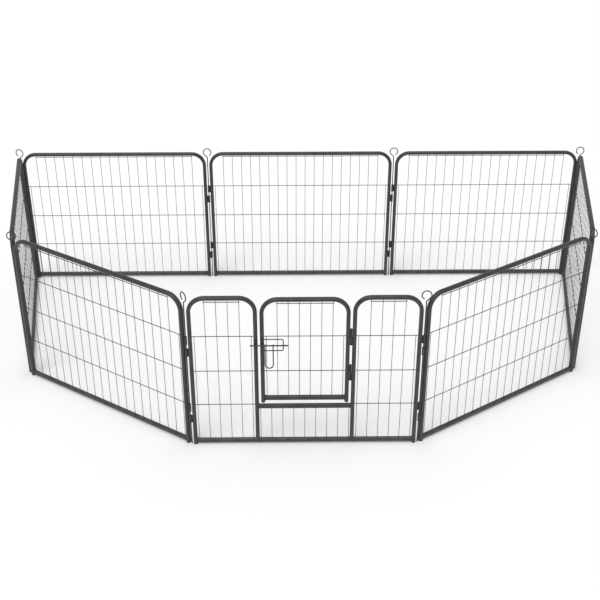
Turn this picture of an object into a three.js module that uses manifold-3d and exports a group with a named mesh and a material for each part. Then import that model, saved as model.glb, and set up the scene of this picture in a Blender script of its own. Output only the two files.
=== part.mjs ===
// Eight-panel steel pet playpen with a small door. Millimetres, +Z up.
// The origin is on the ground, under the middle of the playpen's outer box.
import * as THREE from 'three';
import { mergeVertices } from 'three/addons/utils/BufferGeometryUtils.js';
import Module from 'manifold-3d';

const wasm = await Module();
wasm.setup();

// The ring of panels: straight along the back, folded round the sides, slanted to the front.
const PIN_PITCH = 800;
const SIDE_LEAN = THREE.MathUtils.degToRad(10);
const FRONT_SLANT = Math.acos(1 - Math.sin(SIDE_LEAN));

// Every panel's frame.
const PANEL_HEIGHT = 600;
const PANEL_GAP = 14;
const TUBE_WIDTH = 14;
const TUBE_DEPTH = 18.6;
const TUBE_CORNER = 6;
const TUBE_WALL = 1;
const PANEL_SPACES = 19;
const BEND_RADIUS = 53;
const BEND_STEPS = 4;
const RAIL_CENTRE_Z = 13.6;
const FIT = 0.3;

// The plastic foot in the end of each leg.
const FOOT_THICKNESS = 3;
const FOOT_STEM = { width: 6, depth: 8.4, height: 9 };

// Welded wire. Upright wires stand on the outer side of the level ones.
const UPRIGHT_WIRE = 2;
const LEVEL_WIRE = 2.8;
const UPRIGHT_Y = 1.15;
const LEVEL_Y = -1.55;
const TIE_Y = -0.2;
const TOP_WIRE_Y = 2;
const TOP_WIRE_DROP = 20.5;
const TOP_WIRE_OVERHANG = 3;
const GAP_UNDER_BEND = 1;
const LEVEL_WIRE_HEIGHTS = [444.5, 305.5, 166.5];
const EDGE_WIRE_INSET = 7.2;

// Hinge sleeves on the outer legs, and the long pins that go through them.
const PIN_RADIUS = 2;
const SLEEVE_RADIUS = 4.5;
const SLEEVE_BORE = 2.9;
const SLEEVE_LENGTH = 32;
const SLEEVE_PITCH = 48;
const SLEEVE_TOPS = [446, 171];
const WELD_LAP = 0.2;
const WELD_SHARE_OF_BORE = 0.7;
const EYE_CENTRE_Z = 600;
const EYE_RADIUS = 17;
const EYE_NECK_Z = 578.5;
const EYE_END_ANGLE = THREE.MathUtils.degToRad(-62);
const EYE_STEPS = 9;

// The door panel: two arches with the door between them.
const POST_X = 166.1;
const CROSS_RAIL_Z = 159.7;
const DOOR_LEG_X = 144.2;
const DOOR_TOP = 594;
const DOOR_BOTTOM = 181.5;
const DOOR_RAIL_Z = 194.8;
const DOOR_SPACES = 7;
const BESIDE_DOOR_SPACES = 5;
const LOW_BAR_COUNT = 9;
const LOW_BAR_INSET = 5;
const DOOR_HINGE_BOTTOMS = [408, 265];
const DOOR_BARREL = { radius: 3.6, bore: 2.3, length: 31.8 };
const DOOR_HINGE_PIN = { radius: 1.7, headRadius: 3, headHeight: 1.6 };

// The sliding latch, on the outer face of the door's free leg.
const BOLT_RADIUS = 2.5;
const BOLT_Z = 417;
const BOLT_Y = 15.25;
const BOLT_TIP_X = 186;
const BOLT_TAIL_X = 55;
const LOOP_RADIUS = 5;
const LOOP_BORE = 3;
const LATCH_WIRE_RADIUS = 1.8;
const LATCH_PLATE_THICKNESS = 2;
const LATCH_PLATE_INSET = 1;
const GUIDE_HALF_HEIGHT = 24;
const GUIDE_END_X = 73;
const GUIDE_BEND = 6;
const GUIDE_LAP = 2;
const GUIDE_STEPS = 2;
const KEEPER_HALF_HEIGHT = 17;
const KEEPER_LOOP_INSET = 2;
const HANDLE_X = 120.8;
const HANDLE_HALF_WIDTH = 13.5;
const HANDLE_BOTTOM_Z = 325;
const HANDLE_WIRE_RADIUS = 2;
const HANDLE_TOP_LAP = 0.4;
const HANDLE_STEPS = 6;

// How many sides the round pieces have.
const WIRE_SIDES = 6;
const TURNED_SIDES = 8;

const LEG_X = (PIN_PITCH - PANEL_GAP - TUBE_WIDTH) / 2;
const HALF_TUBE = TUBE_WIDTH / 2;
const LEG_BOTTOM = FOOT_THICKNESS + FIT;
const TUBE_FACE_Y = TUBE_DEPTH / 2;

// A rail stands on the narrow side of its tube, so it is as tall as a leg is deep.
const HALF_RAIL = TUBE_DEPTH / 2;
const RAIL_TOP = RAIL_CENTRE_Z + HALF_RAIL;

const coatedTube = new THREE.MeshStandardMaterial({ color: 0x3b3d3c, roughness: 0.5, metalness: 0.4 });
const coatedWire = new THREE.MeshStandardMaterial({ color: 0x474948, roughness: 0.5, metalness: 0.4 });
const coatedPin = new THREE.MeshStandardMaterial({ color: 0x2d2f2f, roughness: 0.45, metalness: 0.5 });
const blackPlastic = new THREE.MeshStandardMaterial({ color: 0x171717, roughness: 0.65, metalness: 0 });

function toSolid(geometry) {
  const bare = geometry.index ? geometry.toNonIndexed() : geometry.clone();
  bare.deleteAttribute('normal');
  bare.deleteAttribute('uv');
  const merged = mergeVertices(bare, 1e-4);
  const vertProperties = new Float32Array(merged.attributes.position.array);
  const triVerts = new Uint32Array(merged.index.array);
  return new wasm.Manifold(new wasm.Mesh({ numProp: 3, vertProperties, triVerts }));
}

function toGeometry(solid) {
  const mesh = solid.getMesh();
  const geometry = new THREE.BufferGeometry();
  geometry.setAttribute('position', new THREE.BufferAttribute(mesh.vertProperties, 3));
  geometry.setIndex(new THREE.BufferAttribute(mesh.triVerts, 1));
  return geometry;
}

function joined(geometries) {
  const solids = geometries.map(toSolid);
  return toGeometry(solids.reduce((whole, next) => whole.add(next)));
}

function box(x0, x1, y0, y1, z0, z1) {
  const geometry = new THREE.BoxGeometry(x1 - x0, y1 - y0, z1 - z0);
  return geometry.translate((x0 + x1) / 2, (y0 + y1) / 2, (z0 + z1) / 2);
}

// A path with a station only where the extrusion needs a section, so a straight run is one step.
class StationPath extends THREE.Curve {
  constructor(stations) {
    super();
    this.stations = stations;
  }

  at(u) {
    return this.stations[Math.round(u * (this.stations.length - 1))];
  }

  getPointAt(u) {
    return this.at(u).point.clone();
  }

  getTangentAt(u) {
    return this.at(u).tangent.clone();
  }

  // The section's x lies in the plane of the path and its y is always +Y.
  computeFrenetFrames() {
    const tangents = this.stations.map(({ tangent }) => tangent);
    const normals = tangents.map(({ x, z }) => new THREE.Vector3(z, 0, -x));
    const binormals = tangents.map(() => new THREE.Vector3(0, 1, 0));
    return { tangents, normals, binormals };
  }
}

// Stations lie in the XZ plane; the angle is the heading, from +X towards +Z.
function station(x, z, heading) {
  return {
    point: new THREE.Vector3(x, 0, z),
    tangent: new THREE.Vector3(Math.cos(heading), 0, Math.sin(heading)),
  };
}

// An arc of stations about (x, z), run clockwise from one polar angle to another.
function clockwiseArc(x, z, radius, from, to, steps) {
  const stations = [];
  for (let i = 0; i <= steps; i += 1) {
    const angle = from + ((to - from) * i) / steps;
    const px = x + radius * Math.cos(angle);
    const pz = z + radius * Math.sin(angle);
    stations.push(station(px, pz, angle - Math.PI / 2));
  }
  return stations;
}

function sweep(shape, stations) {
  const extrudePath = new StationPath(stations);
  return new THREE.ExtrudeGeometry(shape, { steps: stations.length - 1, extrudePath });
}

function polygon(radius, sides) {
  const points = [];
  for (let i = 0; i < sides; i += 1) {
    const angle = (2 * Math.PI * (i + 0.5)) / sides;
    points.push(new THREE.Vector2(radius * Math.cos(angle), radius * Math.sin(angle)));
  }
  return points;
}

function ringShape(radius, bore) {
  const shape = new THREE.Shape(polygon(radius, TURNED_SIDES));
  shape.holes.push(new THREE.Path(polygon(bore, TURNED_SIDES).reverse()));
  return shape;
}

function upright(shape, z0, z1) {
  return new THREE.ExtrudeGeometry(shape, { depth: z1 - z0, bevelEnabled: false }).translate(0, 0, z0);
}

function alongX(shape, x0, x1) {
  const geometry = new THREE.ExtrudeGeometry(shape, { depth: x1 - x0, bevelEnabled: false });
  return geometry.rotateY(Math.PI / 2).translate(x0, 0, 0);
}

// The flat-sided oval of the tube, brought in by an inset.
function ovalOutline(inset) {
  const halfWidth = HALF_TUBE - inset;
  const halfDepth = TUBE_FACE_Y - inset;
  const slip = inset * (Math.SQRT2 - 1);
  const flatX = HALF_TUBE - TUBE_CORNER - slip;
  const flatY = TUBE_FACE_Y - TUBE_CORNER - slip;
  const corner = [[halfWidth, flatY], [flatX, halfDepth]];
  const half = [...corner, ...corner.map(([x, y]) => [-x, y]).reverse()];
  const outline = [...half, ...half.map(([x, y]) => [x, -y]).reverse()];
  return outline.map(([x, y]) => new THREE.Vector2(x, y));
}

function tubeShape() {
  const shape = new THREE.Shape(ovalOutline(0));
  shape.holes.push(new THREE.Path(ovalOutline(TUBE_WALL).reverse()));
  return shape;
}

// A tube bent over the top, with a leg down each side.
function archTube(leftX, leftBottom, rightX, rightBottom, top) {
  const level = top - HALF_TUBE;
  const bendZ = level - BEND_RADIUS;
  const quarter = Math.PI / 2;
  return sweep(tubeShape(), [
    station(leftX, leftBottom, quarter),
    ...clockwiseArc(leftX + BEND_RADIUS, bendZ, BEND_RADIUS, Math.PI, quarter, BEND_STEPS),
    ...clockwiseArc(rightX - BEND_RADIUS, bendZ, BEND_RADIUS, quarter, 0, BEND_STEPS),
    station(rightX, rightBottom, -quarter),
  ]);
}

function railTube(halfLength, z) {
  return alongX(tubeShape(), -halfLength, halfLength).rotateX(Math.PI / 2).translate(0, 0, z);
}

// A sleeve about an upright axis, with the weld that bridges to the tube beside it.
function weldedSleeve(axisX, tubeFaceX, radius, bore, z0, z1) {
  const sleeve = upright(ringShape(radius, bore), z0, z1).translate(axisX, 0, 0);
  const side = Math.sign(tubeFaceX - axisX);
  const near = axisX + side * (bore + WELD_LAP);
  const far = tubeFaceX + side * (TUBE_WALL / 2);
  const halfWeld = bore * WELD_SHARE_OF_BORE;
  return [sleeve, box(Math.min(near, far), Math.max(near, far), -halfWeld, halfWeld, z0, z1)];
}

// The left end's sleeves stand above the right end's, so neighbouring panels interleave.
function panelSleeves(side) {
  const axisX = (side * PIN_PITCH) / 2;
  const faceX = axisX - (side * PANEL_GAP) / 2;
  const drop = side > 0 ? SLEEVE_PITCH : 0;
  return SLEEVE_TOPS.flatMap((top) => {
    const z1 = top - drop;
    return weldedSleeve(axisX, faceX, SLEEVE_RADIUS, SLEEVE_BORE, z1 - SLEEVE_LENGTH, z1);
  });
}

function panelFrame() {
  const arch = archTube(-LEG_X, LEG_BOTTOM, LEG_X, LEG_BOTTOM, PANEL_HEIGHT);
  return joined([arch, ...panelSleeves(-1), ...panelSleeves(1)]);
}

function bottomRail() {
  return railTube(LEG_X - HALF_TUBE - FIT, RAIL_CENTRE_Z);
}

function foot(x) {
  const { width, depth, height } = FOOT_STEM;
  const top = FOOT_THICKNESS + height;
  const pad = upright(new THREE.Shape(ovalOutline(0)), 0, FOOT_THICKNESS);
  const stem = box(-width / 2, width / 2, -depth / 2, depth / 2, FOOT_THICKNESS / 2, top);
  return joined([pad, stem]).translate(x, 0, 0);
}

function uprightWire(x, y, z0, z1) {
  const half = UPRIGHT_WIRE / 2;
  return box(x - half, x + half, y - half, y + half, z0, z1);
}

function levelWire(x0, x1, y, z) {
  const half = LEVEL_WIRE / 2;
  return box(x0, x1, y - half, y + half, z - half, z + half);
}

// Wires between two legs: a shorter upright at each edge, and evenly spaced ones up to the frame's
// top, joined just below it by a short level wire on their outer side. The two outermost at each
// end pass through the level wires and tie the whole grid together.
function wireGrid(leftFace, rightFace, spaces, bottom, top, levels) {
  const first = leftFace + EDGE_WIRE_INSET;
  const pitch = (rightFace - leftFace - 2 * EDGE_WIRE_INSET) / spaces;
  const last = first + pitch * spaces;
  const topWireZ = top - TOP_WIRE_DROP;
  const shortLeft = first + pitch - TOP_WIRE_OVERHANG;
  const shortRight = last - pitch + TOP_WIRE_OVERHANG;
  const wires = [levelWire(shortLeft, shortRight, TOP_WIRE_Y, topWireZ)];
  levels.forEach((z) => wires.push(levelWire(leftFace + FIT, rightFace - FIT, LEVEL_Y, z)));
  for (let i = 0; i <= spaces; i += 1) {
    const fromEdge = Math.min(i, spaces - i);
    const y = fromEdge < 2 ? TIE_Y : UPRIGHT_Y;
    const wireTop = fromEdge === 0 ? levels[0] : top - TUBE_WIDTH - GAP_UNDER_BEND;
    wires.push(uprightWire(first + pitch * i, y, bottom + FIT, wireTop));
  }
  return joined(wires);
}

// The rail under the door, with the short bars that close the space below it.
function crossRail() {
  const innerFace = POST_X - HALF_TUBE;
  const outerBar = innerFace - LOW_BAR_INSET;
  const barPitch = (2 * outerBar) / (LOW_BAR_COUNT - 1);
  const barTop = CROSS_RAIL_Z - HALF_RAIL + TUBE_WALL / 2;
  const pieces = [railTube(innerFace - FIT, CROSS_RAIL_Z)];
  for (let i = 0; i < LOW_BAR_COUNT; i += 1) {
    pieces.push(uprightWire(-outerBar + barPitch * i, 0, RAIL_TOP + FIT, barTop));
  }
  return joined(pieces);
}

// Half of the door panel: an arch from an outer leg (at the left) to the post beside the door.
function hingeArch() {
  const arch = archTube(-LEG_X, LEG_BOTTOM, -POST_X, RAIL_TOP + FIT, PANEL_HEIGHT);
  return joined([arch, ...panelSleeves(-1), ...doorBarrels(-POST_X + HALF_TUBE, 0)]);
}

function latchArch() {
  const arch = archTube(POST_X, RAIL_TOP + FIT, LEG_X, LEG_BOTTOM, PANEL_HEIGHT);
  return joined([arch, ...panelSleeves(1)]);
}

const DOOR_AXIS_X = -(POST_X + DOOR_LEG_X) / 2;

// The post's barrels are the lower ones of each pair, and the door's rest just above them.
function doorBarrels(tubeFaceX, lift) {
  const { radius, bore, length } = DOOR_BARREL;
  return DOOR_HINGE_BOTTOMS.flatMap((bottom) => {
    const z0 = bottom + lift;
    return weldedSleeve(DOOR_AXIS_X, tubeFaceX, radius, bore, z0, z0 + length);
  });
}

function doorFrame() {
  const arch = archTube(-DOOR_LEG_X, DOOR_BOTTOM, DOOR_LEG_X, DOOR_BOTTOM, DOOR_TOP);
  return joined([arch, ...doorBarrels(-DOOR_LEG_X - HALF_TUBE, DOOR_BARREL.length + FIT)]);
}

function doorHingePin(bottom) {
  const { radius, headRadius, headHeight } = DOOR_HINGE_PIN;
  const barrelTop = bottom + 2 * DOOR_BARREL.length + FIT;
  const shoulder = barrelTop + FIT;
  const profile = [
    new THREE.Vector2(0, bottom - headHeight),
    new THREE.Vector2(radius, bottom - headHeight),
    new THREE.Vector2(radius, shoulder),
    new THREE.Vector2(headRadius, shoulder),
    new THREE.Vector2(headRadius, shoulder + headHeight),
    new THREE.Vector2(0, shoulder + headHeight),
  ];
  return new THREE.LatheGeometry(profile, TURNED_SIDES).rotateX(Math.PI / 2).translate(DOOR_AXIS_X, 0, 0);
}

// A loop about the bolt's axis.
function boltLoop(x0, x1) {
  return alongX(ringShape(LOOP_RADIUS, LOOP_BORE), x0, x1).translate(0, BOLT_Y, BOLT_Z);
}

function latchPlate(x, halfHeight) {
  const halfWidth = HALF_TUBE - LATCH_PLATE_INSET;
  const y0 = TUBE_FACE_Y + FIT;
  const y1 = y0 + LATCH_PLATE_THICKNESS;
  return box(x - halfWidth, x + halfWidth, y0, y1, BOLT_Z - halfHeight, BOLT_Z + halfHeight);
}

// A wire bow that runs out from the door's leg, round its far end and back.
function latchGuide() {
  const legFace = DOOR_LEG_X - HALF_TUBE;
  const bendX = GUIDE_END_X + GUIDE_BEND;
  const topZ = GUIDE_HALF_HEIGHT - LATCH_WIRE_RADIUS;
  const quarter = Math.PI / 2;
  const half = [
    station(-legFace - GUIDE_LAP, topZ, 0),
    ...clockwiseArc(-bendX, topZ - GUIDE_BEND, GUIDE_BEND, quarter, 0, GUIDE_STEPS),
  ];
  const back = clockwiseArc(-bendX, GUIDE_BEND - topZ, GUIDE_BEND, 0, -quarter, GUIDE_STEPS);
  const stations = [...half, ...back, station(-legFace - GUIDE_LAP, -topZ, Math.PI)];
  const bow = sweep(new THREE.Shape(polygon(LATCH_WIRE_RADIUS, WIRE_SIDES)), stations);
  const bowY = TUBE_FACE_Y + FIT + LATCH_PLATE_THICKNESS / 2;
  bow.rotateZ(Math.PI).translate(0, bowY, BOLT_Z);
  const plate = latchPlate(DOOR_LEG_X, GUIDE_HALF_HEIGHT + LATCH_WIRE_RADIUS);
  const sleeve = boltLoop(legFace + LATCH_PLATE_INSET, legFace + TUBE_WIDTH - LATCH_PLATE_INSET);
  const eyelet = boltLoop(GUIDE_END_X - LATCH_WIRE_RADIUS, GUIDE_END_X + LATCH_WIRE_RADIUS);
  return joined([plate, sleeve, bow, eyelet]);
}

function latchKeeper() {
  const halfLoop = HALF_TUBE - KEEPER_LOOP_INSET;
  const loop = boltLoop(POST_X - halfLoop, POST_X + halfLoop);
  return joined([latchPlate(POST_X, KEEPER_HALF_HEIGHT), loop]);
}

function latchBolt() {
  const rod = alongX(new THREE.Shape(polygon(BOLT_RADIUS, TURNED_SIDES)), BOLT_TAIL_X, BOLT_TIP_X);
  return rod.translate(0, BOLT_Y, BOLT_Z);
}

// A drop handle: a long bow that hangs from two loops round the bolt.
function latchHandle() {
  const topZ = BOLT_Z - LOOP_BORE - HANDLE_TOP_LAP;
  const bendZ = HANDLE_BOTTOM_Z + HANDLE_WIRE_RADIUS + HANDLE_HALF_WIDTH;
  const quarter = Math.PI / 2;
  const bow = sweep(new THREE.Shape(polygon(HANDLE_WIRE_RADIUS, WIRE_SIDES)), [
    station(HANDLE_HALF_WIDTH, topZ, -quarter),
    ...clockwiseArc(0, bendZ, HANDLE_HALF_WIDTH, 0, -Math.PI, HANDLE_STEPS),
    station(-HANDLE_HALF_WIDTH, topZ, quarter),
  ]);
  bow.translate(HANDLE_X, BOLT_Y, 0);
  const loops = [-HANDLE_HALF_WIDTH, HANDLE_HALF_WIDTH].map((offset) => {
    const middle = HANDLE_X + offset;
    return boltLoop(middle - HANDLE_WIRE_RADIUS, middle + HANDLE_WIRE_RADIUS);
  });
  return joined([bow, ...loops]);
}

// A corner pin: a straight rod to the ground, with an open eye to pull it out by.
function cornerPin() {
  const reach = EYE_CENTRE_Z - EYE_NECK_Z;
  const swing = Math.acos(EYE_RADIUS / reach);
  const startAngle = 1.5 * Math.PI - swing;
  const neckHeading = Math.PI / 2 + (Math.PI / 2 - swing) / 2;
  return sweep(new THREE.Shape(polygon(PIN_RADIUS, WIRE_SIDES)), [
    station(0, 0, Math.PI / 2),
    station(0, EYE_NECK_Z - PIN_RADIUS, Math.PI / 2),
    station(-PIN_RADIUS / 2, EYE_NECK_Z + PIN_RADIUS / 2, neckHeading),
    ...clockwiseArc(0, EYE_CENTRE_Z, EYE_RADIUS, startAngle, EYE_END_ANGLE, EYE_STEPS),
  ]);
}

function addPart(group, name, geometry, material) {
  const mesh = new THREE.Mesh(geometry, material);
  mesh.name = name;
  group.add(mesh);
}

function addFeet(group, panel) {
  addPart(group, `${panel}_foot_left`, foot(-LEG_X), blackPlastic);
  addPart(group, `${panel}_foot_right`, foot(LEG_X), blackPlastic);
}

function addPlainPanel(group, panel) {
  const legFace = LEG_X - HALF_TUBE;
  const grid = wireGrid(-legFace, legFace, PANEL_SPACES, RAIL_TOP, PANEL_HEIGHT, LEVEL_WIRE_HEIGHTS);
  addPart(group, `${panel}_frame`, panelFrame(), coatedTube);
  addPart(group, `${panel}_bottom_rail`, bottomRail(), coatedTube);
  addPart(group, `${panel}_wire_grid`, grid, coatedWire);
  addFeet(group, panel);
}

function addDoor(group) {
  const face = DOOR_LEG_X - HALF_TUBE;
  const levels = LEVEL_WIRE_HEIGHTS.slice(0, 2);
  const grid = wireGrid(-face, face, DOOR_SPACES, DOOR_RAIL_Z + HALF_RAIL, DOOR_TOP, levels);
  addPart(group, 'door_frame', doorFrame(), coatedTube);
  addPart(group, 'door_bottom_rail', railTube(face - FIT, DOOR_RAIL_Z), coatedTube);
  addPart(group, 'door_wire_grid', grid, coatedWire);
  addPart(group, 'door_hinge_pin_upper', doorHingePin(DOOR_HINGE_BOTTOMS[0]), coatedPin);
  addPart(group, 'door_hinge_pin_lower', doorHingePin(DOOR_HINGE_BOTTOMS[1]), coatedPin);
}

function addLatch(group) {
  addPart(group, 'latch_guide', latchGuide(), coatedPin);
  addPart(group, 'latch_keeper', latchKeeper(), coatedPin);
  addPart(group, 'latch_bolt', latchBolt(), coatedPin);
  addPart(group, 'latch_handle', latchHandle(), coatedPin);
}

function addDoorPanel(group, panel) {
  const legFace = LEG_X - HALF_TUBE;
  const postFace = POST_X + HALF_TUBE;
  const gridBetween = (left, right) =>
    wireGrid(left, right, BESIDE_DOOR_SPACES, RAIL_TOP, PANEL_HEIGHT, LEVEL_WIRE_HEIGHTS);
  addPart(group, `${panel}_hinge_arch`, hingeArch(), coatedTube);
  addPart(group, `${panel}_latch_arch`, latchArch(), coatedTube);
  addPart(group, `${panel}_bottom_rail`, bottomRail(), coatedTube);
  addPart(group, `${panel}_cross_rail`, crossRail(), coatedTube);
  addPart(group, `${panel}_hinge_grid`, gridBetween(-legFace, -postFace), coatedWire);
  addPart(group, `${panel}_latch_grid`, gridBetween(postFace, legFace), coatedWire);
  addFeet(group, panel);
  addDoor(group);
  addLatch(group);
}

// Panels in order round the ring, clockwise from above, each with its heading seen from above.
// A panel's own +X runs along it and its own +Y points out of the pen. Each pin's eye has been left
// turned its own way, in degrees from opening towards +X.
const HALF_TURN = Math.PI;
const PANELS = [
  { name: 'back_middle', heading: 0, eyeDegrees: 0, add: addPlainPanel },
  { name: 'back_right', heading: 0, eyeDegrees: 0, add: addPlainPanel },
  { name: 'side_right', heading: -HALF_TURN / 2 - SIDE_LEAN, eyeDegrees: 180, add: addPlainPanel },
  { name: 'front_right', heading: FRONT_SLANT - HALF_TURN, eyeDegrees: 126, add: addPlainPanel },
  { name: 'door_panel', heading: HALF_TURN, eyeDegrees: 180, add: addDoorPanel },
  { name: 'front_left', heading: HALF_TURN - FRONT_SLANT, eyeDegrees: 126, add: addPlainPanel },
  { name: 'side_left', heading: HALF_TURN / 2 + SIDE_LEAN, eyeDegrees: 0, add: addPlainPanel },
  { name: 'back_left', heading: 0, eyeDegrees: 164, add: addPlainPanel },
];

// Each pin stands at the corner where its panel starts.
function buildRing() {
  const ring = new THREE.Group();
  const corner = new THREE.Vector3(-PIN_PITCH / 2, 0, 0);
  PANELS.forEach(({ name, heading, eyeDegrees, add }, index) => {
    const along = new THREE.Vector3(Math.cos(heading), Math.sin(heading), 0);
    const panel = new THREE.Group();
    panel.position.copy(corner).addScaledVector(along, PIN_PITCH / 2);
    panel.rotation.z = heading;
    add(panel, name);
    const pin = new THREE.Group();
    pin.position.copy(corner);
    pin.rotation.z = THREE.MathUtils.degToRad(eyeDegrees);
    addPart(pin, `corner_pin_${index + 1}`, cornerPin(), coatedPin);
    ring.add(panel, pin);
    corner.addScaledVector(along, PIN_PITCH);
  });
  return ring;
}

const ring = buildRing();
const extent = new THREE.Box3().setFromObject(ring, true);
const middle = extent.getCenter(new THREE.Vector3());
ring.position.set(-middle.x, -middle.y, -extent.min.z);

const playpen = new THREE.Group();
playpen.add(ring);

export default playpen;
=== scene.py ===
"""Looks for an eight-panel coated-steel pet playpen with a small door. Metres, +Z up.

Each panel is made in its own frame, with +X along it, +Y out of the pen and its middle at x = 0,
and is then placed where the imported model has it.
"""
import math
import random

import bpy
from mathutils import Matrix, Vector


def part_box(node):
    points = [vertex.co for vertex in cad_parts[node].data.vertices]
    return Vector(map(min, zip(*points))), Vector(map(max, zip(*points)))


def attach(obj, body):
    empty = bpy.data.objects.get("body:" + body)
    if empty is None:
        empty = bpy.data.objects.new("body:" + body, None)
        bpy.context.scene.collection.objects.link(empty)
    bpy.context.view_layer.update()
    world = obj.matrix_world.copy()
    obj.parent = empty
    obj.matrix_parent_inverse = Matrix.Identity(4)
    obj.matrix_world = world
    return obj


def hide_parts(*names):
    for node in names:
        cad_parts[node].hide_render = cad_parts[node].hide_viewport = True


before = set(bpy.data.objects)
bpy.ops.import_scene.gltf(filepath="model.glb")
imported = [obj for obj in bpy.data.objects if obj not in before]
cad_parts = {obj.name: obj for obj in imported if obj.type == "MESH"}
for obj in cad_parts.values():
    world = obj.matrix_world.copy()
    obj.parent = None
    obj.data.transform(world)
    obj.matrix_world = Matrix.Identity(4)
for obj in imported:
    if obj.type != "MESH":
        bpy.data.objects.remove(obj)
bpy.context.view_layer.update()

MM = 0.001
QUARTER = math.pi / 2
UP = Vector((0, 0, 1))


def node_size(node):
    low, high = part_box(node)
    return Vector(high) - Vector(low)


def node_middle(node):
    low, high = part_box(node)
    return (Vector(low) + Vector(high)) / 2


# The ring of panels.
PIN_PITCH = 0.8
SIDE_LEAN = math.radians(10)
FRONT_SLANT = math.acos(1 - math.sin(SIDE_LEAN))
BACK_RAIL_MIDDLE = node_middle("back_middle_bottom_rail")

# The tube and the frames bent from it. Legs are deep in y, and rails lie on edge, deep in z.
TUBE_WIDTH = node_size("back_middle_bottom_rail").y
TUBE_DEPTH = node_size("back_middle_bottom_rail").z
TUBE_CORNER = 6.9 * MM
HALF_TUBE = TUBE_WIDTH / 2
HALF_DEPTH = TUBE_DEPTH / 2
PANEL_TOP = Vector(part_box("back_middle_frame")[1]).z
PANEL_GAP = 14 * MM
LEG_X = (PIN_PITCH - PANEL_GAP - TUBE_WIDTH) / 2
LEG_FACE = LEG_X - HALF_TUBE
BEND_RADIUS = 53 * MM
RAIL_Z = BACK_RAIL_MIDDLE.z
RAIL_TOP = RAIL_Z + HALF_DEPTH
FOOT_HEIGHT = 3 * MM
FOOT_OVERLAP = 0.3 * MM

# The wire grids.
PANEL_WIRE_SPACES = 19
NARROW_WIRE_SPACES = 5
DOOR_WIRE_SPACES = 7
UPRIGHT_RADIUS = 1 * MM
LEVEL_RADIUS = 1.4 * MM
UPRIGHT_Y = 1 * MM
LEVEL_Y = -1.2 * MM
TOP_WIRE_Y = 2.8 * MM
TOP_WIRE_DROP = 20.5 * MM
TOP_WIRE_OVERHANG = 3 * MM
LEVEL_HEIGHTS = [444.5 * MM, 305.5 * MM, 166.5 * MM]
DOOR_LEVEL_HEIGHTS = LEVEL_HEIGHTS[:2]
EDGE_WIRE_INSET = 7.2 * MM

# The corner pins and the sleeves that they go through.
PIN_RADIUS = 2 * MM
PIN_EYE_Z = 600 * MM
PIN_NECK_Z = 578.5 * MM
PIN_NECK_BEND = 8 * MM
PIN_EYE_INSET = 0.3 * MM
PIN_EYE_RADIUS = node_size("corner_pin_1").x / 2 - PIN_RADIUS - PIN_EYE_INSET
PIN_EYE_END = math.radians(-62)
SLEEVE_RADIUS = 4.5 * MM
SLEEVE_BORE = 2.9 * MM
SLEEVE_LENGTH = 32 * MM
SLEEVE_PITCH = 48 * MM
SLEEVE_TOPS = [446 * MM, 171 * MM]
SLEEVE_WEB_HALF_DEPTH = SLEEVE_BORE * 0.7

# The door and the posts beside it.
POST_X = 166.1 * MM
POST_FACE = POST_X + HALF_TUBE
CROSS_RAIL_Z = 159.7 * MM
LOW_BAR_COUNT = 9
LOW_BAR_INSET = 5 * MM
DOOR_LEG_X = 144.2 * MM
DOOR_FACE = DOOR_LEG_X - HALF_TUBE
DOOR_TOP = Vector(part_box("door_frame")[1]).z
DOOR_BOTTOM = Vector(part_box("door_frame")[0]).z
DOOR_RAIL_Z = node_middle("door_bottom_rail").z
DOOR_AXIS_X = -(POST_X + DOOR_LEG_X) / 2
DOOR_HINGE_BOTTOMS = [408 * MM, 265 * MM]
BARREL_RADIUS = 3.6 * MM
BARREL_BORE = 2.3 * MM
BARREL_LENGTH = 31.8 * MM
BARREL_GAP = 0.3 * MM
BARREL_WEB_HALF_DEPTH = BARREL_BORE * 0.8
BARREL_WEB_START = 0.3 * MM
HINGE_PIN_RADIUS = 1.7 * MM
HINGE_PIN_HEAD_RADIUS = 3 * MM
HINGE_PIN_HEAD_HEIGHT = 1.6 * MM

# The latch.
BOLT_RADIUS = 2.5 * MM
BOLT_Y = 15.25 * MM
BOLT_Z = node_middle("latch_bolt").z
BOLT_TAIL_X = 55 * MM
BOLT_TIP_X = 186 * MM
LOOP_RADIUS = 4.6 * MM
LOOP_BORE = 2.9 * MM
LATCH_WIRE_RADIUS = 1.8 * MM
PLATE_THICKNESS = 2 * MM
PLATE_CORNER = 2 * MM
PLATE_GAP = 0.3 * MM
PLATE_INSET = 1 * MM
GUIDE_HALF_HEIGHT = 24 * MM
GUIDE_END_X = 73 * MM
GUIDE_BEND = 6 * MM
GUIDE_OVERLAP = 2 * MM
KEEPER_HALF_HEIGHT = 17 * MM
KEEPER_LOOP_REACH = HALF_TUBE - 2 * MM
HANDLE_X = 120.8 * MM
HANDLE_HALF_WIDTH = 13.5 * MM
HANDLE_BOTTOM_Z = 325 * MM
HANDLE_WIRE_RADIUS = 2 * MM
HANDLE_TOP_DROP = 0.4 * MM

# How finely round things are made.
BEND_STEPS = 14
EYE_STEPS = 3 * BEND_STEPS
NECK_STEPS = 5
GUIDE_BEND_STEPS = 6
TUBE_CORNER_STEPS = 6
WEB_CORNER_STEPS = 3
PLATE_CORNER_STEPS = 4
WIRE_SIDES = 10
PIN_SIDES = 14
SLEEVE_STEPS = 24
WELD_SIDES = 8
SHARP_ANGLE = math.radians(38)
EASED_EDGE = 0.4 * MM

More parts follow.
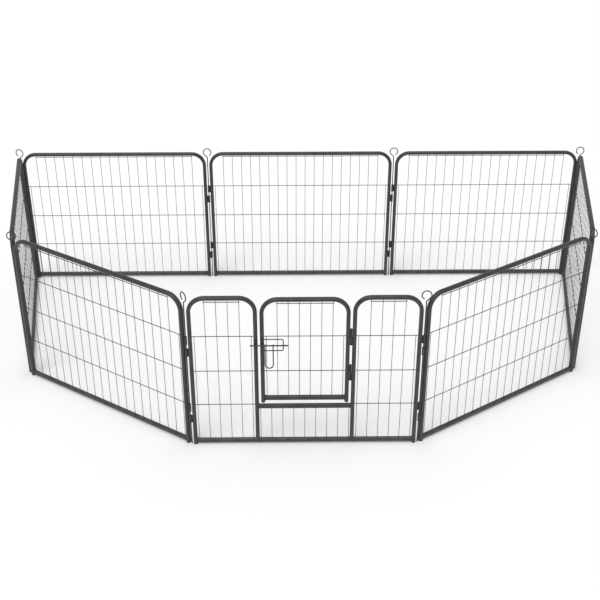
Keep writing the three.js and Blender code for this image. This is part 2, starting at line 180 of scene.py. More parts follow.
# Rounded ends: pairs of a distance along the axis and a width, both as shares of the end's size.
# Only the distances of FOOT_RIM are in metres.
DOME = [(0.0, 0.3), (0.1, 0.65), (0.35, 0.88), (0.8, 1.0)]
ROD_END_DEPTH = 0.6
RIVET_TAIL = [(-1, 0.6), (-0.8, 0.9), (-0.5, 1)]
RIVET_HEAD = [(0, 1), (0.45, 1), (0.8, 0.8), (1, 0.4)]
FOOT_RIM = [(0 * MM, 0.8), (0.25 * MM, 0.9), (0.8 * MM, 0.97), (1.5 * MM, 1.0)]

# Welds. A bead swells and narrows once in each ripple.
WELD_RADIUS = 1.1 * MM
WELD_SINK = WELD_RADIUS / 2
WELD_RIPPLE = 2.4 * MM
RIPPLE_SHARE = 0.14
STEPS_PER_RIPPLE = 4
BEAD_END_SHARE = 0.35
WEB_CORNER_SHARE = 0.3
SPOT_WELD = Vector((1.9, 1.3, 1.9)) * MM
END_WELD = Vector((1.9, 1.7, 1.5)) * MM
BLOB_UNEVENNESS = (0.88, 1.1)
BLOB_LATITUDES = [math.radians(degrees) for degrees in (-72, -36, 0, 36, 72)]

chance = random.Random(8)


# Camera, stage and lights.
CAMERA_PLACE = (-0.0519, -3.6478, 2.3409)
CAMERA_TILT = math.radians(59.936)
CAMERA_TURN = math.radians(-0.6625)
CAMERA_SENSOR_MM = 36
CAMERA_LENS_MM = 64.06
CAMERA_REACH = 100
FLOOR_HALF = 30
FLOOR_COLOUR = (0.93, 0.93, 0.93, 1)
FLOOR_ROUGHNESS = 0.8
SKY_COLOUR = (0.98, 0.99, 1, 1)
SKY_STRENGTH = 0.6


def place_camera():
    data = bpy.data.cameras.new("camera")
    data.sensor_width = CAMERA_SENSOR_MM
    data.lens = CAMERA_LENS_MM
    data.clip_end = CAMERA_REACH
    camera = bpy.data.objects.new("camera", data)
    camera.location = CAMERA_PLACE
    camera.rotation_euler = (CAMERA_TILT, 0, CAMERA_TURN)
    bpy.context.collection.objects.link(camera)
    bpy.context.scene.camera = camera


def add_floor():
    mesh = bpy.data.meshes.new("floor")
    half = FLOOR_HALF
    corners = [(-half, -half, 0), (half, -half, 0), (half, half, 0), (-half, half, 0)]
    mesh.from_pydata(corners, [], [(0, 1, 2, 3)])
    floor = bpy.data.objects.new("floor", mesh)
    material = bpy.data.materials.new("pale_floor")
    material.use_nodes = True
    shader = material.node_tree.nodes["Principled BSDF"]
    shader.inputs["Base Color"].default_value = FLOOR_COLOUR
    shader.inputs["Roughness"].default_value = FLOOR_ROUGHNESS
    mesh.materials.append(material)
    bpy.context.collection.objects.link(floor)


def add_light(name, turn, height, spread, strength):
    """A wide, soft lamp far off. It stands turned from straight in front towards +X, and at a height
    above the horizon; these and its spread are in degrees."""
    data = bpy.data.lights.new(name, "SUN")
    data.angle = math.radians(spread)
    data.energy = strength
    light = bpy.data.objects.new(name, data)
    light.rotation_euler = (math.radians(90 - height), 0, math.radians(turn))
    bpy.context.collection.objects.link(light)


def light_studio():
    world = bpy.data.worlds.new("studio")
    world.use_nodes = True
    background = world.node_tree.nodes["Background"]
    background.inputs["Color"].default_value = SKY_COLOUR
    background.inputs["Strength"].default_value = SKY_STRENGTH
    bpy.context.scene.world = world
    bpy.context.scene.view_settings.view_transform = "Standard"
    add_light("key", turn=-30, height=55, spread=45, strength=1.25)
    add_light("overhead", turn=10, height=85, spread=60, strength=0.6)


# Materials.


class Nodes:
    """A material's node tree, with short ways to add and join nodes."""

    def __init__(self, name):
        self.material = bpy.data.materials.new(name)
        self.material.use_nodes = True
        self.tree = self.material.node_tree
        self.shader = self.tree.nodes["Principled BSDF"]
        self.place = self.add("ShaderNodeTexCoord").outputs["Object"]

    def add(self, kind, **values):
        node = self.tree.nodes.new(kind)
        for name, value in values.items():
            setattr(node, name, value)
        return node

    def join(self, source, target):
        self.tree.links.new(source, target)

    def noise(self, scale, detail, roughness=0.5):
        node = self.add("ShaderNodeTexNoise")
        node.inputs["Scale"].default_value = scale
        node.inputs["Detail"].default_value = detail
        node.inputs["Roughness"].default_value = roughness
        self.join(self.place, node.inputs["Vector"])
        return node.outputs["Fac"]

    def cells(self, scale, smoothness):
        node = self.add("ShaderNodeTexVoronoi", feature="SMOOTH_F1")
        node.inputs["Scale"].default_value = scale
        node.inputs["Smoothness"].default_value = smoothness
        self.join(self.place, node.inputs["Vector"])
        return node.outputs["Distance"]

    def spread(self, source, span, new_span):
        """Stretches one span of a value onto another, and holds it at the new span's ends."""
        node = self.add("ShaderNodeMapRange")
        for name, value in zip(("From Min", "From Max", "To Min", "To Max"), (*span, *new_span)):
            node.inputs[name].default_value = value
        self.join(source, node.inputs["Value"])
        return node.outputs["Result"]

    def calculate(self, operation, first, second):
        node = self.add("ShaderNodeMath", operation=operation)
        for source, socket in zip((first, second), node.inputs):
            if isinstance(source, float):
                socket.default_value = source
            else:
                self.join(source, socket)
        return node.outputs["Value"]

    def blend(self, share, first, second):
        """A mix of two colours, each a triple or another node's output."""
        node = self.add("ShaderNodeMix", data_type="RGBA")
        self.join(share, node.inputs["Factor"])
        for source, name in ((first, "A"), (second, "B")):
            socket = next(s for s in node.inputs if s.name == name and s.type == "RGBA")
            if isinstance(source, tuple):
                socket.default_value = (*source, 1)
            else:
                self.join(source, socket)
        return next(s for s in node.outputs if s.type == "RGBA")

    def bump(self, height, depth, strength, below=None):
        node = self.add("ShaderNodeBump")
        node.inputs["Strength"].default_value = strength
        node.inputs["Distance"].default_value = depth
        self.join(height, node.inputs["Height"])
        if below is not None:
            self.join(below, node.inputs["Normal"])
        return node.outputs["Normal"]

    def height(self):
        node = self.add("ShaderNodeSeparateXYZ")
        self.join(self.place, node.inputs["Vector"])
        return node.outputs["Z"]


COAT_SPECULAR = 0.4
COAT_GLAZE = 0.12
COAT_GLAZE_ROUGHNESS = 0.22
FLECK_BRIGHTNESS = 2.3
DUST_COLOUR = (0.2, 0.185, 0.165)
DUST_HEIGHT = 90 * MM
DUST_AT_FLOOR = 0.22


def coat(name, dark, light, dimple_scale, roughness):
    """Powder coat over steel: dimpled, a little uneven in colour and gloss, dusty near the floor."""
    nodes = Nodes(name)
    shader = nodes.shader.inputs
    patches = nodes.spread(nodes.noise(28, detail=5, roughness=0.6), (0.36, 0.66), (0, 1))
    base = nodes.blend(patches, dark, light)
    flecks = nodes.spread(nodes.noise(dimple_scale * 4, detail=2), (0.58, 0.74), (0, 0.35))
    flecked = nodes.blend(flecks, base, tuple(part * FLECK_BRIGHTNESS for part in light))
    low_down = nodes.spread(nodes.height(), (0, DUST_HEIGHT), (DUST_AT_FLOOR, 0))
    specks = nodes.spread(nodes.noise(90, detail=4), (0.4, 0.65), (0, 1))
    dust = nodes.calculate("MULTIPLY", low_down, specks)
    nodes.join(nodes.blend(dust, flecked, DUST_COLOUR), shader["Base Color"])
    clean = nodes.spread(nodes.noise(60, detail=4), (0.3, 0.7), (roughness - 0.06, roughness + 0.1))
    dulled = nodes.calculate("MULTIPLY", dust, 0.5)
    nodes.join(nodes.calculate("ADD", clean, dulled), shader["Roughness"])
    dimples = nodes.bump(nodes.cells(dimple_scale, smoothness=0.6), depth=0.25 * MM, strength=0.35)
    grain = nodes.noise(dimple_scale * 3, detail=3)
    nodes.join(nodes.bump(grain, depth=0.12 * MM, strength=0.3, below=dimples), shader["Normal"])
    shader["Specular IOR Level"].default_value = COAT_SPECULAR
    shader["Coat Weight"].default_value = COAT_GLAZE
    shader["Coat Roughness"].default_value = COAT_GLAZE_ROUGHNESS
    return nodes.material


def moulded_plastic():
    """Black moulded plastic with a fine spark-eroded grain and dusty scuffs."""
    nodes = Nodes("moulded_plastic")
    shader = nodes.shader.inputs
    scuffs = nodes.spread(nodes.noise(160, detail=6, roughness=0.65), (0.5, 0.72), (0, 0.5))
    colour = nodes.blend(scuffs, (0.009, 0.009, 0.009), (0.05, 0.048, 0.045))
    nodes.join(colour, shader["Base Color"])
    gloss = nodes.spread(nodes.noise(300, detail=3), (0.3, 0.7), (0.5, 0.72))
    nodes.join(gloss, shader["Roughness"])
    grain = nodes.bump(nodes.noise(2400, detail=2), depth=0.08 * MM, strength=0.5)
    nodes.join(grain, shader["Normal"])
    return nodes.material


# The material in each slot.
MATERIALS = {
    "tube_coat": coat("tube_coat", (0.021, 0.022, 0.02), (0.037, 0.038, 0.035), 420, 0.36),
    "wire_coat": coat("wire_coat", (0.026, 0.027, 0.026), (0.044, 0.045, 0.044), 900, 0.4),
    "pin_coat": coat("pin_coat", (0.01, 0.011, 0.011), (0.02, 0.021, 0.02), 700, 0.32),
    "foot_plastic": moulded_plastic(),
}


# Shapes.


class Shell:
    """The vertices and faces of one piece, gathered from several closed shapes."""

    def __init__(self):
        self.points = []
        self.faces = []

    def add(self, points, faces):
        first = len(self.points)
        self.points.extend(points)
        self.faces.extend(tuple(first + i for i in face) for face in faces)

    def sweep(self, stations, section, closed=False):
        """Carries a section past stations, each a middle and the directions of the section's x and y."""
        count = len(section)
        points = [middle + across * x + out * y for middle, across, out in stations for x, y in section]
        faces = []
        for row in range(len(stations) if closed else len(stations) - 1):
            here = row * count
            there = (row + 1) % len(stations) * count
            for i in range(count):
                j = (i + 1) % count
                faces.append((here + i, here + j, there + j, there + i))
        if not closed:
            faces.append(tuple(reversed(range(count))))
            faces.append(tuple(range(len(points) - count, len(points))))
        self.add(points, faces)


def circle(radius, sides):
    angles = [math.tau * i / sides for i in range(sides)]
    return [(radius * math.cos(angle), radius * math.sin(angle)) for angle in angles]


def rounded_box(width, depth, corner, steps):
    """A box's outline with round corners, counter-clockwise."""
    outline = []
    for quarter, (side_x, side_y) in enumerate([(1, 1), (-1, 1), (-1, -1), (1, -1)]):
        for i in range(steps + 1):
            angle = QUARTER * (quarter + i / steps)
            x = side_x * (width / 2 - corner) + corner * math.cos(angle)
            y = side_y * (depth / 2 - corner) + corner * math.sin(angle)
            outline.append((x, y))
    return outline


TUBE_SECTION = rounded_box(TUBE_WIDTH, TUBE_DEPTH, TUBE_CORNER, TUBE_CORNER_STEPS)
RAIL_SECTION = rounded_box(TUBE_DEPTH, TUBE_WIDTH, TUBE_CORNER, TUBE_CORNER_STEPS)


def station(x, z, heading, y=0.0, scale=1.0):
    """A place on a path in the XZ plane; the heading turns from +X towards +Z."""
    across = Vector((math.sin(heading), 0, -math.cos(heading))) * scale
    return Vector((x, y, z)), across, Vector((0, scale, 0))


def arc(x, z, radius, start, end, steps, y=0.0):
    """Stations round (x, z) from one polar angle to another, clockwise where the end is less."""
    turn = math.copysign(QUARTER, end - start)
    angles = [start + (end - start) * i / steps for i in range(steps + 1)]
    return [
        station(x + radius * math.cos(angle), z + radius * math.sin(angle), angle + turn, y)
        for angle in angles
    ]


def turned(shell, start, along, profile, sides):
    """A solid of revolution: the profile lists distances along the axis, and the radius at each."""
    along = along.normalized()
    across = along.orthogonal().normalized()
    out = along.cross(across)
    stations = [
        (start + along * distance, across * radius, out * radius)
        for distance, radius in profile
    ]
    shell.sweep(stations, circle(1, sides))


def rod(shell, start, end, radius, sides=WIRE_SIDES):
    """A straight round bar with softly rounded ends."""
    length = (end - start).length
    first = [(step * radius * ROD_END_DEPTH, width * radius) for step, width in DOME]
    last = [(length - distance, width) for distance, width in reversed(first)]
    turned(shell, start, end - start, first + last, sides)


def blob(shell, middle, radii):
    """A spot of weld metal, with slightly uneven radii."""
    radius_x, radius_y, radius_z = [radius * chance.uniform(*BLOB_UNEVENNESS) for radius in radii]
    stations = []
    for angle in BLOB_LATITUDES:
        across = Vector((radius_x * math.cos(angle), 0, 0))
        out = Vector((0, radius_y * math.cos(angle), 0))
        stations.append((middle + UP * (radius_z * math.sin(angle)), across, out))
    shell.sweep(stations, circle(1, WELD_SIDES))


def ripple(distance):
    return 1 + RIPPLE_SHARE * math.cos(math.tau * distance / WELD_RIPPLE)


def straight_bead(shell, x, y, z0, z1, radius):
    """An upright bead of weld with the ripples that a torch leaves."""
    count = int((z1 - z0) / WELD_RIPPLE * STEPS_PER_RIPPLE)
    stations = []
    for i in range(count + 1):
        distance = (z1 - z0) * i / count
        near_end = min(distance, z1 - z0 - distance) / radius
        size = radius * ripple(distance) * min(1, BEAD_END_SHARE + near_end)
        stations.append((Vector((x, y, z0 + distance)), Vector((size, 0, 0)), Vector((0, size, 0))))
    shell.sweep(stations, circle(1, WELD_SIDES))


def ring_bead(shell, x, z, radius):
    """A bead round the end of a level tube, where it meets a leg."""
    outline = rounded_box(TUBE_WIDTH, TUBE_DEPTH, TUBE_CORNER, TUBE_CORNER_STEPS * 2)
    stations = []
    distance = 0.0
    for i, (y, up) in enumerate(outline):
        next_y, next_up = outline[(i + 1) % len(outline)]
        size = radius * ripple(distance)
        away = Vector((0, y, up)).normalized() * size
        stations.append((Vector((x, y, z + up)), Vector((size, 0, 0)), away))
        distance += math.hypot(next_y - y, next_up - up)
    shell.sweep(stations, circle(1, WELD_SIDES), closed=True)


def ring(shell, middle, axis, half_length, outer, bore):
    """A short tube about an axis through middle, with its edges eased."""
    ease = min(EASED_EDGE, (outer - bore) / 4)
    profile = [
        (bore, -half_length + ease),
        (bore + ease, -half_length),
        (outer - ease, -half_length),
        (outer, -half_length + ease),
        (outer, half_length - ease),
        (outer - ease, half_length),
        (bore + ease, half_length),
        (bore, half_length - ease),
    ]
    side = axis.orthogonal().normalized()
    stations = [
        (middle, Matrix.Rotation(math.tau * i / SLEEVE_STEPS, 3, axis) @ side, axis)
        for i in range(SLEEVE_STEPS)
    ]
    shell.sweep(stations, profile, closed=True)


def weld_web(shell, x0, x1, half_depth, z0, z1):
    """Weld metal between a sleeve and its tube, with a bead down each side."""
    middle_x = (x0 + x1) / 2
    width = x1 - x0
    depth = 2 * half_depth
    section = rounded_box(width, depth, min(width, depth) * WEB_CORNER_SHARE, WEB_CORNER_STEPS)
    flat = (Vector((1, 0, 0)), Vector((0, 1, 0)))
    shell.sweep([(Vector((middle_x, 0, z)), *flat) for z in (z0, z1)], section)
    for side in (-1, 1):
        straight_bead(shell, middle_x, side * half_depth, z0, z1, WELD_RADIUS)


def slab(shell, x, z, half_width, half_height, y0, y1):
    """An upright plate with round corners and eased edges, facing +Y."""
    section = rounded_box(2 * half_height, 2 * half_width, PLATE_CORNER, PLATE_CORNER_STEPS)
    share = 1 - EASED_EDGE / half_width
    stations = []
    for y, scale in ((y0, share), (y0 + EASED_EDGE, 1), (y1 - EASED_EDGE, 1), (y1, share)):
        stations.append((Vector((x, y, z)), Vector((0, 0, scale)), Vector((scale, 0, 0))))
    shell.sweep(stations, section)


def bent_tube(shell, left_x, left_bottom, right_x, right_bottom, top):
    """A tube bent over the top with a leg down each side."""
    level = top - HALF_TUBE
    bend_z = level - BEND_RADIUS
    shell.sweep(
        [
            station(left_x, left_bottom, QUARTER),
            *arc(left_x + BEND_RADIUS, bend_z, BEND_RADIUS, math.pi, QUARTER, BEND_STEPS),
            *arc(right_x - BEND_RADIUS, bend_z, BEND_RADIUS, QUARTER, 0, BEND_STEPS),
            station(right_x, right_bottom, -QUARTER),
        ],
        TUBE_SECTION,
    )


def level_tube(shell, half_length, z):
    """A straight tube between two legs, with a bead of weld round each end."""
    shell.sweep([station(-half_length, z, 0), station(half_length, z, 0)], RAIL_SECTION)
    for side in (-1, 1):
        ring_bead(shell, side * (half_length - WELD_SINK), z, WELD_RADIUS)


def sleeves(shell, side):
    """The hinge sleeves down one outer leg; the left end's stand above the right end's."""
    axis_x = side * PIN_PITCH / 2
    face_x = axis_x - side * PANEL_GAP / 2
    for top in SLEEVE_TOPS:
        z1 = top - (SLEEVE_PITCH if side > 0 else 0)
        z0 = z1 - SLEEVE_LENGTH
        middle = Vector((axis_x, 0, (z0 + z1) / 2))
        ring(shell, middle, UP, SLEEVE_LENGTH / 2, SLEEVE_RADIUS, SLEEVE_BORE)
        near = axis_x - side * (SLEEVE_RADIUS - WELD_SINK)
        far = face_x - side * WELD_SINK
        x0, x1 = sorted((near, far))
        weld_web(shell, x0, x1, SLEEVE_WEB_HALF_DEPTH, z0 + WELD_RADIUS, z1 - WELD_RADIUS)


def barrels(shell, side, z_lift):
    """The door hinge's barrels on the tube at one side of the hinge's axis."""
    gap = (POST_X - DOOR_LEG_X) / 2 - HALF_TUBE
    for bottom in DOOR_HINGE_BOTTOMS:
        z0 = bottom + z_lift
        z1 = z0 + BARREL_LENGTH
        middle = Vector((DOOR_AXIS_X, 0, (z0 + z1) / 2))
        ring(shell, middle, UP, BARREL_LENGTH / 2, BARREL_RADIUS, BARREL_BORE)
        near = DOOR_AXIS_X + side * (BARREL_BORE + BARREL_WEB_START)
        far = DOOR_AXIS_X + side * (gap + WELD_SINK)
        x0, x1 = sorted((near, far))
        weld_web(shell, x0, x1, BARREL_WEB_HALF_DEPTH, z0 + WELD_RADIUS, z1 - WELD_RADIUS)


# Pieces.


def finish_piece(shell, name, placing, body, slot, node=None):
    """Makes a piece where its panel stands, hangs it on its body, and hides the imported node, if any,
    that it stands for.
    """
    mesh = bpy.data.meshes.new(name)
    mesh.from_pydata([placing @ Vector(point) for point in shell.points], [], shell.faces)
    mesh.polygons.foreach_set("use_smooth", [True] * len(mesh.polygons))
    mesh.set_sharp_from_angle(angle=SHARP_ANGLE)
    mesh.materials.append(MATERIALS[slot])
    piece = bpy.data.objects.new(name, mesh)
    bpy.context.collection.objects.link(piece)
    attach(piece, body)
    if node:
        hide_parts(node)


def wire_grid(shell, left, right, spaces, bottom, top, levels):
    """Welded wires between two legs, as the grid of each panel and of the door."""
    first = left + EDGE_WIRE_INSET
    pitch = (right - left - 2 * EDGE_WIRE_INSET) / spaces
    top_z = top - TOP_WIRE_DROP
    short_left = first + pitch - TOP_WIRE_OVERHANG
    short_right = first + pitch * (spaces - 1) + TOP_WIRE_OVERHANG
    start = Vector((short_left, TOP_WIRE_Y, top_z))
    end = Vector((short_right, TOP_WIRE_Y, top_z))
    rod(shell, start, end, LEVEL_RADIUS)
    for z in levels:
        start = Vector((left - WELD_SINK, LEVEL_Y, z))
        end = Vector((right + WELD_SINK, LEVEL_Y, z))
        rod(shell, start, end, LEVEL_RADIUS)
        for x in (left, right):
            blob(shell, Vector((x, LEVEL_Y, z)), END_WELD)
    for i in range(spaces + 1):
        x = first + pitch * i
        low = Vector((x, UPRIGHT_Y, bottom - UPRIGHT_RADIUS))
        high = Vector((x, UPRIGHT_Y, levels[0] + UPRIGHT_RADIUS))
        blob(shell, Vector((x, UPRIGHT_Y, bottom)), END_WELD)
        for z in levels:
            blob(shell, Vector((x, (UPRIGHT_Y + LEVEL_Y) / 2, z)), SPOT_WELD)
        if 0 < i < spaces:
            high.z = top - TUBE_WIDTH + UPRIGHT_RADIUS
            blob(shell, Vector((x, UPRIGHT_Y, top - TUBE_WIDTH)), END_WELD)
            blob(shell, Vector((x, (UPRIGHT_Y + TOP_WIRE_Y) / 2, top_z)), SPOT_WELD)
        rod(shell, low, high, UPRIGHT_RADIUS)


def foot(name, x, bottom, placing, body, node=None):
    """A plastic cap in the end of a leg, with a rounded rim."""
    shell = Shell()
    profile = [*FOOT_RIM, (FOOT_HEIGHT + FOOT_OVERLAP, 1.0)]
    stations = [station(x, bottom + height, QUARTER, scale=width) for height, width in profile]
    shell.sweep(stations, TUBE_SECTION)
    finish_piece(shell, name, placing, body, "foot_plastic", node)


def feet(panel, placing, body):
    foot(f"{panel}_left_cap", -LEG_X, 0.0, placing, body, f"{panel}_foot_left")
    foot(f"{panel}_right_cap", LEG_X, 0.0, placing, body, f"{panel}_foot_right")


def lower_rail(panel, placing, body):
    shell = Shell()
    level_tube(shell, LEG_FACE, RAIL_Z)
    finish_piece(shell, f"{panel}_lower_tube", placing, body, "tube_coat", f"{panel}_bottom_rail")


def plain_panel(panel, placing, body):
    arch = Shell()
    bent_tube(arch, -LEG_X, FOOT_HEIGHT, LEG_X, FOOT_HEIGHT, PANEL_TOP)
    sleeves(arch, -1)
    sleeves(arch, 1)
    finish_piece(arch, f"{panel}_bent_tube", placing, body, "tube_coat", f"{panel}_frame")
    grid = Shell()
    wire_grid(grid, -LEG_FACE, LEG_FACE, PANEL_WIRE_SPACES, RAIL_TOP, PANEL_TOP, LEVEL_HEIGHTS)
    finish_piece(grid, f"{panel}_wires", placing, body, "wire_coat", f"{panel}_wire_grid")
    lower_rail(panel, placing, body)
    feet(panel, placing, body)


def cross_rail(panel, placing, body):
    """The tube under the door and the short bars below it."""
    shell = Shell()
    inner = POST_X - HALF_TUBE
    level_tube(shell, inner, CROSS_RAIL_Z)
    outer_bar = inner - LOW_BAR_INSET
    for i in range(LOW_BAR_COUNT):
        x = -outer_bar + 2 * outer_bar * i / (LOW_BAR_COUNT - 1)
        low = Vector((x, 0, RAIL_TOP - UPRIGHT_RADIUS))
        high = Vector((x, 0, CROSS_RAIL_Z - HALF_DEPTH + UPRIGHT_RADIUS))
        rod(shell, low, high, UPRIGHT_RADIUS)
        blob(shell, Vector((x, 0, RAIL_TOP)), END_WELD)
        blob(shell, Vector((x, 0, CROSS_RAIL_Z - HALF_DEPTH)), END_WELD)
    finish_piece(shell, "cross_tube", placing, body, "tube_coat", f"{panel}_cross_rail")


def door(placing):
    body = "door"
    arch = Shell()
    bent_tube(arch, -DOOR_LEG_X, DOOR_BOTTOM, DOOR_LEG_X, DOOR_BOTTOM, DOOR_TOP)
    barrels(arch, 1, BARREL_LENGTH + BARREL_GAP)
    finish_piece(arch, "door_bent_tube", placing, body, "tube_coat", "door_frame")
    rail = Shell()
    level_tube(rail, DOOR_FACE, DOOR_RAIL_Z)
    finish_piece(rail, "door_lower_tube", placing, body, "tube_coat", "door_bottom_rail")
    grid = Shell()
    rail_top = DOOR_RAIL_Z + HALF_DEPTH
    wire_grid(grid, -DOOR_FACE, DOOR_FACE, DOOR_WIRE_SPACES, rail_top, DOOR_TOP, DOOR_LEVEL_HEIGHTS)
    finish_piece(grid, "door_wires", placing, body, "wire_coat", "door_wire_grid")
    cap_bottom = DOOR_BOTTOM - FOOT_HEIGHT
    foot("door_left_cap", -DOOR_LEG_X, cap_bottom, placing, body)
    foot("door_right_cap", DOOR_LEG_X, cap_bottom, placing, body)


def door_hinge_pin(name, bottom, placing):
    """A riveted pin: a domed head above the barrels and a rounded tail below."""
    shell = Shell()
    shoulder = 2 * BARREL_LENGTH + 2 * BARREL_GAP
    height = HINGE_PIN_HEAD_HEIGHT
    profile = [
        *[(height * step, HINGE_PIN_RADIUS * width) for step, width in RIVET_TAIL],
        (shoulder, HINGE_PIN_RADIUS),
        *[(shoulder + height * step, HINGE_PIN_HEAD_RADIUS * width) for step, width in RIVET_HEAD],
    ]
    turned(shell, Vector((DOOR_AXIS_X, 0, bottom)), UP, profile, PIN_SIDES)
    finish_piece(shell, f"{name}_rivet", placing, "door_panel", "pin_coat", name)


def bolt_loop(shell, x0, x1):
    """A loop that the bolt goes through, from x0 to x1."""
    middle = Vector(((x0 + x1) / 2, BOLT_Y, BOLT_Z))
    ring(shell, middle, Vector((1, 0, 0)), (x1 - x0) / 2, LOOP_RADIUS, LOOP_BORE)


def latch_plate(shell, x, half_height):
    """A plate on the outer side of a leg, a little narrower than the leg."""
    y0 = HALF_DEPTH + PLATE_GAP
    slab(shell, x, BOLT_Z, HALF_TUBE - PLATE_INSET, half_height, y0, y0 + PLATE_THICKNESS)


def latch_guide(placing):
    """The plate on the door's leg, its loop, and the wire bow that ends in another loop."""
    shell = Shell()
    near_x = DOOR_LEG_X - HALF_TUBE + GUIDE_OVERLAP
    bend_x = GUIDE_END_X + GUIDE_BEND
    half = GUIDE_HALF_HEIGHT - LATCH_WIRE_RADIUS
    low_z = BOLT_Z - half + GUIDE_BEND
    high_z = BOLT_Z + half - GUIDE_BEND
    bow_y = HALF_DEPTH + PLATE_GAP + PLATE_THICKNESS / 2
    shell.sweep(
        [
            station(near_x, BOLT_Z - half, math.pi, bow_y),
            *arc(bend_x, low_z, GUIDE_BEND, -QUARTER, -math.pi, GUIDE_BEND_STEPS, bow_y),
            *arc(bend_x, high_z, GUIDE_BEND, math.pi, QUARTER, GUIDE_BEND_STEPS, bow_y),
            station(near_x, BOLT_Z + half, 0, bow_y),
        ],
        circle(LATCH_WIRE_RADIUS, PIN_SIDES),
    )
    latch_plate(shell, DOOR_LEG_X, GUIDE_HALF_HEIGHT + LATCH_WIRE_RADIUS)
    bolt_loop(shell, DOOR_LEG_X - HALF_TUBE + PLATE_INSET, DOOR_LEG_X + HALF_TUBE - PLATE_INSET)
    bolt_loop(shell, GUIDE_END_X - LATCH_WIRE_RADIUS, GUIDE_END_X + LATCH_WIRE_RADIUS)
    finish_piece(shell, "latch_guide_wire", placing, "door", "pin_coat", "latch_guide")


def latch_keeper(placing):
    """The plate and loop on the post, which the bolt's tip goes through."""
    shell = Shell()
    latch_plate(shell, POST_X, KEEPER_HALF_HEIGHT)
    bolt_loop(shell, POST_X - KEEPER_LOOP_REACH, POST_X + KEEPER_LOOP_REACH)
    finish_piece(shell, "latch_keeper_loop", placing, "door_panel", "pin_coat", "latch_keeper")


def latch_bolt(placing):
    shell = Shell()
    start = Vector((BOLT_TAIL_X, BOLT_Y, BOLT_Z))
    end = Vector((BOLT_TIP_X, BOLT_Y, BOLT_Z))
    rod(shell, start, end, BOLT_RADIUS, PIN_SIDES)
    finish_piece(shell, "latch_bolt_rod", placing, "bolt", "pin_coat", "latch_bolt")


def latch_handle(placing):
    """A long wire bow that hangs from two loops round the bolt."""
    shell = Shell()
    top_z = BOLT_Z - LOOP_BORE - HANDLE_TOP_DROP
    bend_z = HANDLE_BOTTOM_Z + HANDLE_WIRE_RADIUS + HANDLE_HALF_WIDTH
    shell.sweep(
        [
            station(HANDLE_X + HANDLE_HALF_WIDTH, top_z, -QUARTER, BOLT_Y),
            *arc(HANDLE_X, bend_z, HANDLE_HALF_WIDTH, 0, -math.pi, BEND_STEPS, BOLT_Y),
            station(HANDLE_X - HANDLE_HALF_WIDTH, top_z, QUARTER, BOLT_Y),
        ],
        circle(HANDLE_WIRE_RADIUS, PIN_SIDES),
    )
    for side in (-1, 1):
        middle = HANDLE_X + side * HANDLE_HALF_WIDTH
        bolt_loop(shell, middle - HANDLE_WIRE_RADIUS, middle + HANDLE_WIRE_RADIUS)
    finish_piece(shell, "latch_handle_bow", placing, "handle", "pin_coat", "latch_handle")


def door_panel(panel, placing, body):
    """The panel with the door, the door itself and its latch."""
    hinge_side = Shell()
    bent_tube(hinge_side, -LEG_X, FOOT_HEIGHT, -POST_X, RAIL_TOP, PANEL_TOP)
    sleeves(hinge_side, -1)
    barrels(hinge_side, -1, 0.0)
    name = f"{panel}_hinge_side_tube"
    finish_piece(hinge_side, name, placing, body, "tube_coat", f"{panel}_hinge_arch")
    latch_side = Shell()
    bent_tube(latch_side, POST_X, RAIL_TOP, LEG_X, FOOT_HEIGHT, PANEL_TOP)
    sleeves(latch_side, 1)
    name = f"{panel}_latch_side_tube"
    finish_piece(latch_side, name, placing, body, "tube_coat", f"{panel}_latch_arch")
    for side, left, right in (("hinge", -LEG_FACE, -POST_FACE), ("latch", POST_FACE, LEG_FACE)):
        grid = Shell()
        wire_grid(grid, left, right, NARROW_WIRE_SPACES, RAIL_TOP, PANEL_TOP, LEVEL_HEIGHTS)
        name = f"{panel}_{side}_wires"
        finish_piece(grid, name, placing, body, "wire_coat", f"{panel}_{side}_grid")
    lower_rail(panel, placing, body)
    cross_rail(panel, placing, body)
    feet(panel, placing, body)
    door(placing)
    door_hinge_pin("door_hinge_pin_upper", DOOR_HINGE_BOTTOMS[0], placing)
    door_hinge_pin("door_hinge_pin_lower", DOOR_HINGE_BOTTOMS[1], placing)
    latch_guide(placing)
    latch_keeper(placing)
    latch_bolt(placing)
    latch_handle(placing)


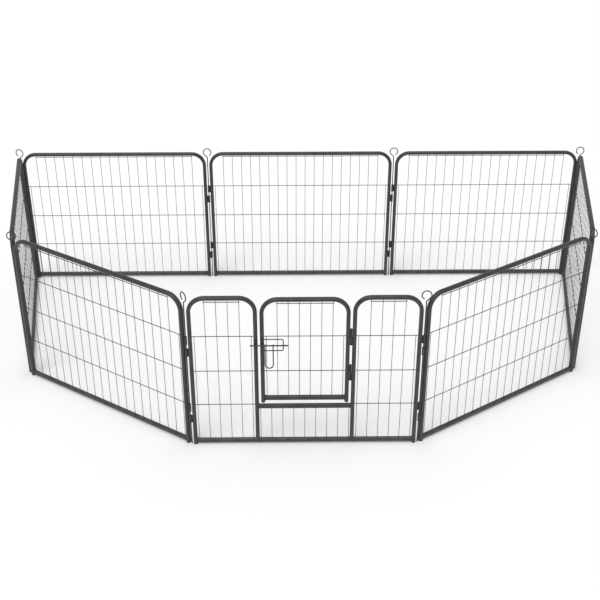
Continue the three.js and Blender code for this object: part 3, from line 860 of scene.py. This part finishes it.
def corner_pin(number, corner, eye_turn):
    """A long rod whose top is bent round into an open eye."""
    reach = PIN_EYE_Z - PIN_NECK_Z
    swing = math.acos(PIN_EYE_RADIUS / reach)
    start = 3 * QUARTER - swing
    lean = QUARTER - swing
    bend_z = PIN_NECK_Z - PIN_NECK_BEND * math.tan(lean / 2)
    tip = [station(0, distance * PIN_RADIUS, QUARTER, scale=width) for distance, width in DOME]
    neck = arc(-PIN_NECK_BEND, bend_z, PIN_NECK_BEND, 0, lean, NECK_STEPS)
    eye = arc(0, PIN_EYE_Z, PIN_EYE_RADIUS, start, PIN_EYE_END, EYE_STEPS)
    shell = Shell()
    shell.sweep([*tip, *neck, *eye], circle(PIN_RADIUS, PIN_SIDES))
    placing = Matrix.Translation(corner) @ Matrix.Rotation(math.radians(eye_turn), 4, "Z")
    name = f"corner_pin_{number}"
    finish_piece(shell, f"{name}_rod", placing, f"pin_{number}", "pin_coat", name)


# Panels in order round the ring, clockwise from above: name, body, heading, and the way that its
# pin's eye is turned, in degrees.
PANELS = [
    ("back_middle", "back_middle_panel", 0, 0),
    ("back_right", "back_right_panel", 0, 0),
    ("side_right", "side_right_panel", -QUARTER - SIDE_LEAN, 180),
    ("front_right", "front_right_panel", FRONT_SLANT - math.pi, 126),
    ("door_panel", "door_panel", math.pi, 180),
    ("front_left", "front_left_panel", math.pi - FRONT_SLANT, 126),
    ("side_left", "side_left_panel", QUARTER + SIDE_LEAN, 0),
    ("back_left", "back_left_panel", 0, 164),
]


def build_playpen():
    corner = Vector((BACK_RAIL_MIDDLE.x - PIN_PITCH / 2, BACK_RAIL_MIDDLE.y, 0))
    for number, (panel, body, heading, eye_turn) in enumerate(PANELS, 1):
        along = Vector((math.cos(heading), math.sin(heading), 0))
        middle = corner + along * (PIN_PITCH / 2)
        placing = Matrix.Translation(middle) @ Matrix.Rotation(heading, 4, "Z")
        make = door_panel if panel == "door_panel" else plain_panel
        make(panel, placing, body)
        corner_pin(number, corner, eye_turn)
        corner = corner + along * PIN_PITCH


place_camera()
add_floor()
light_studio()
build_playpen()
